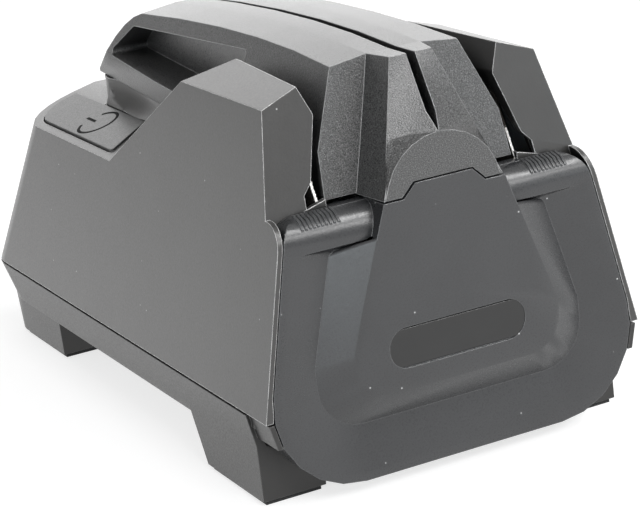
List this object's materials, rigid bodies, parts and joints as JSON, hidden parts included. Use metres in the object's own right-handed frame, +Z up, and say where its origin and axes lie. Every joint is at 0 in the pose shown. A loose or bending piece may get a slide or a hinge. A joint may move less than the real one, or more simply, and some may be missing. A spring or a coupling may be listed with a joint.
{
  "type": "electric knife sharpener",
  "caption": "Electric belt knife sharpener with a lift-off blade guide, sprung belt rollers, tilting front cover and side power button.",
  "frame": {"origin": "centre of the footprint on the surface that it stands on", "axes": "+Z up, -Y out of the front cover, +Y to the power inlet, +X to the right seen from the front"},
  "size_m": [0.1278, 0.2491, 0.1284],
  "materials": {
    "shell_plastic": "finely textured charcoal",
    "tray_plastic": "finely textured charcoal",
    "cover_plastic": "satin charcoal",
    "guide_plastic": "coarse spark-textured charcoal",
    "button_plastic": "finely textured charcoal",
    "rubber": "matte black",
    "ceramic": "off-white ceramic",
    "white_plastic": "natural acetal",
    "black_plastic": "black",
    "frame_plastic": "grey glass-filled",
    "circuit_board": "green board",
    "red_lead": "red insulation",
    "blue_lead": "blue insulation",
    "steel": "bright steel",
    "motor_steel": "plated can",
    "brass": "sintered brass",
    "abrasive_cloth": "brown grit on cloth"
  },
  "bodies": {
    "housing": {"upper_casing": "shell_plastic", "base_tray": "tray_plastic", "left_front_pad": "rubber", "right_front_pad": "rubber", "left_rear_pad": "rubber", "right_rear_pad": "rubber", "left_front_case_screw": "steel", "right_front_case_screw": "steel", "left_rear_case_screw": "steel", "right_rear_case_screw": "steel", "button_spring": "steel", "power_switch": "black_plastic", "control_board": "circuit_board", "power_inlet": "black_plastic", "inlet_lead": "red_lead", "motor_lead": "blue_lead", "mechanism_plate": "frame_plastic", "gear_plate": "frame_plastic", "left_inner_plate_screw": "steel", "right_inner_plate_screw": "steel", "left_outer_plate_screw": "steel", "right_outer_plate_screw": "steel", "left_front_bush": "brass", "right_front_bush": "brass", "left_rear_bush": "brass", "right_rear_bush": "brass", "left_gear_stud": "steel", "right_gear_stud": "steel", "left_belt": "abrasive_cloth", "right_belt": "abrasive_cloth", "left_tension_spring": "steel", "right_tension_spring": "steel", "motor": "motor_steel", "upper_motor_screw": "steel", "lower_motor_screw": "steel"},
    "power_button": {"power_button": "button_plastic"},
    "switch_plunger": {"switch_plunger": "white_plastic"},
    "knife_guide": {"knife_guide": "guide_plastic", "front_honing_rod": "ceramic", "rear_honing_rod": "ceramic"},
    "front_cover": {"front_cover": "cover_plastic"},
    "motor_pinion": {"motor_pinion": "brass"},
    "left_idler_gear": {"left_idler_gear": "white_plastic"},
    "left_drive_roller": {"left_drive_roller": "steel", "left_drive_gear": "white_plastic"},
    "left_tension_slide": {"left_tension_slide": "black_plastic"},
    "left_idler_roller": {"left_idler_roller": "steel"},
    "right_idler_gear": {"right_idler_gear": "white_plastic"},
    "right_drive_roller": {"right_drive_roller": "steel", "right_drive_gear": "white_plastic"},
    "right_tension_slide": {"right_tension_slide": "black_plastic"},
    "right_idler_roller": {"right_idler_roller": "steel"}
  },
  "joints": [
    {"name": "power_press", "type": "slide", "parent": "housing", "child": "power_button", "axis": [0, 0, -1], "range_m": [0, 0.0018], "stiffness_N_per_m": 400, "springref_m": -0.002, "deforming": ["button_spring"]},
    {"name": "plunger_press", "type": "slide", "parent": "housing", "child": "switch_plunger", "axis": [0, 0, -1], "range_m": [0, 0.0018]},
    {"name": "guide_lift", "type": "slide", "parent": "housing", "child": "knife_guide", "axis": [0, -0.148, 0.989], "range_m": [0, 0.06]},
    {"name": "cover_tilt", "type": "hinge", "parent": "housing", "child": "front_cover", "pos_m": [0, -0.116, 0.0094], "axis": [1, 0, 0], "range_deg": [0, 60]},
    {"name": "motor_spin", "type": "hinge", "parent": "housing", "child": "motor_pinion", "pos_m": [0, -0.11223, 0.07819], "axis": [0, 0.9015, -0.4327], "continuous": true},
    {"name": "left_idler_gear_spin", "type": "hinge", "parent": "housing", "child": "left_idler_gear", "pos_m": [-0.0203, -0.11223, 0.07819], "axis": [0, 0.9015, -0.4327], "continuous": true},
    {"name": "left_drive_spin", "type": "hinge", "parent": "housing", "child": "left_drive_roller", "pos_m": [-0.0406, -0.11223, 0.07819], "axis": [0, 0.9015, -0.4327], "continuous": true},
    {"name": "left_tension", "type": "slide", "parent": "housing", "child": "left_tension_slide", "axis": [0, 0.4327, 0.9015], "range_m": [-0.003, 0], "stiffness_N_per_m": 800, "springref_m": 0.004, "deforming": ["left_tension_spring"]},
    {"name": "left_idler_roller_spin", "type": "hinge", "parent": "left_tension_slide", "child": "left_idler_roller", "pos_m": [-0.0387, -0.09708, 0.10974], "axis": [0, 0.9015, -0.4327], "continuous": true},
    {"name": "right_idler_gear_spin", "type": "hinge", "parent": "housing", "child": "right_idler_gear", "pos_m": [0.0203, -0.11223, 0.07819], "axis": [0, 0.9015, -0.4327], "continuous": true},
    {"name": "right_drive_spin", "type": "hinge", "parent": "housing", "child": "right_drive_roller", "pos_m": [0.0406, -0.11223, 0.07819], "axis": [0, 0.9015, -0.4327], "continuous": true},
    {"name": "right_tension", "type": "slide", "parent": "housing", "child": "right_tension_slide", "axis": [0, 0.4327, 0.9015], "range_m": [-0.003, 0], "stiffness_N_per_m": 800, "springref_m": 0.004, "deforming": ["right_tension_spring"]},
    {"name": "right_idler_roller_spin", "type": "hinge", "parent": "right_tension_slide", "child": "right_idler_roller", "pos_m": [0.0387, -0.09708, 0.10974], "axis": [0, 0.9015, -0.4327], "continuous": true}
  ],
  "couplings": [
    {"joint": "plunger_press", "follows": "power_press", "ratio": 1},
    {"joint": "left_idler_gear_spin", "follows": "motor_spin", "ratio": -0.5},
    {"joint": "left_drive_spin", "follows": "motor_spin", "ratio": 1},
    {"joint": "left_idler_roller_spin", "follows": "motor_spin", "ratio": 1.413},
    {"joint": "right_idler_gear_spin", "follows": "motor_spin", "ratio": -0.5},
    {"joint": "right_drive_spin", "follows": "motor_spin", "ratio": 1},
    {"joint": "right_idler_roller_spin", "follows": "motor_spin", "ratio": 1.413}
  ]
}
